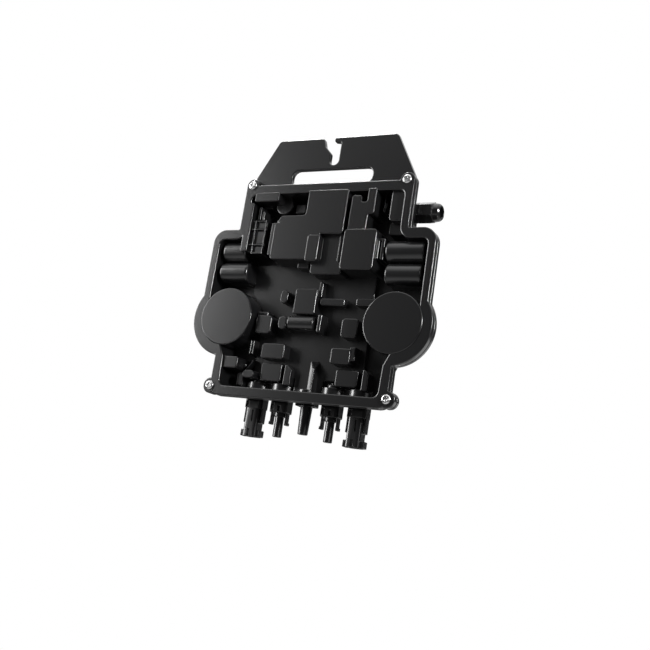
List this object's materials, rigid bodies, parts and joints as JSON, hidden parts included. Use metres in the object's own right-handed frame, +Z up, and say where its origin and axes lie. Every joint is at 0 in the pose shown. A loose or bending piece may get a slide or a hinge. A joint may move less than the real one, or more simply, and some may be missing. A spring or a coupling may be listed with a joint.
{
  "type": "solar microinverter",
  "caption": "Flat black solar microinverter with a moulded relief housing, a slotted rail bracket, cable plugs along its lower edge and a cable gland at its side.",
  "frame": {"origin": "centre of the bolt seat at the bottom of the bracket's notch, on the bracket's rear face that lies against the rail", "axes": "+X to the right seen from the relief side, +Y backwards towards the rail, +Z up"},
  "size_m": [0.263, 0.0422, 0.3114],
  "materials": {
    "housing_plastic": "satin black moulding",
    "bracket_metal": "satin black coating",
    "screw_steel": "bright stainless",
    "seal_rubber": "matt black",
    "board_laminate": "green lacquer",
    "potting_rubber": "cured grey-black compound",
    "ferrite": "sintered grey",
    "copper": "enamelled copper",
    "component_plastic": "dark component cases",
    "capacitor_can": "drawn can",
    "plug_plastic": "glossy black",
    "gland_plastic": "glossy black",
    "contact_brass": "tinned"
  },
  "bodies": {
    "root": {"housing": "housing_plastic", "mounting_bracket": "bracket_metal", "bracket_screws": "screw_steel", "bracket_nuts": "screw_steel", "rear_cover": "bracket_metal", "rear_seal": "seal_rubber", "circuit_board": "board_laminate", "potting_layer": "potting_rubber", "transformer_core_front_left": "ferrite", "transformer_core_rear_left": "ferrite", "transformer_bobbin_left": "component_plastic", "transformer_winding_left": "copper", "transformer_core_front_right": "ferrite", "transformer_core_rear_right": "ferrite", "transformer_bobbin_right": "component_plastic", "transformer_winding_right": "copper", "bus_capacitor_upper_right": "capacitor_can", "bus_capacitor_lower_right": "capacitor_can", "bus_capacitor_upper_left": "capacitor_can", "bus_capacitor_lower_left": "capacitor_can", "supply_capacitor": "capacitor_can", "start_capacitor": "capacitor_can", "filter_choke_core": "ferrite", "filter_choke_winding": "copper", "film_capacitor_large": "component_plastic", "film_capacitor_small": "component_plastic", "grid_relay": "component_plastic", "boost_inductor_core": "ferrite", "boost_inductor_coil": "copper", "auxiliary_relay": "component_plastic", "current_sensor": "component_plastic", "signal_transformer": "ferrite", "input_capacitor_left": "component_plastic", "input_capacitor_right": "component_plastic", "input_choke_left": "ferrite", "input_choke_right": "ferrite", "signal_relays": "component_plastic", "line_varistor": "component_plastic", "surge_arrester": "component_plastic", "radio_module": "board_laminate", "control_processor": "component_plastic", "power_switches": "component_plastic", "socket_connector_left": "plug_plastic", "socket_connector_right": "plug_plastic", "plug_connector_left": "plug_plastic", "plug_connector_right": "plug_plastic", "socket_contact_left": "contact_brass", "socket_contact_right": "contact_brass", "plug_contact_left": "contact_brass", "plug_contact_right": "contact_brass", "connector_seals": "seal_rubber", "retaining_clips": "screw_steel", "antenna_cap": "plug_plastic", "antenna_rod": "contact_brass", "antenna_seal": "seal_rubber", "gland_washer": "seal_rubber", "gland_body": "gland_plastic", "gland_lock_nut": "gland_plastic", "gland_seal_insert": "seal_rubber", "gland_dome_nut": "gland_plastic"}
  },
  "joints": []
}
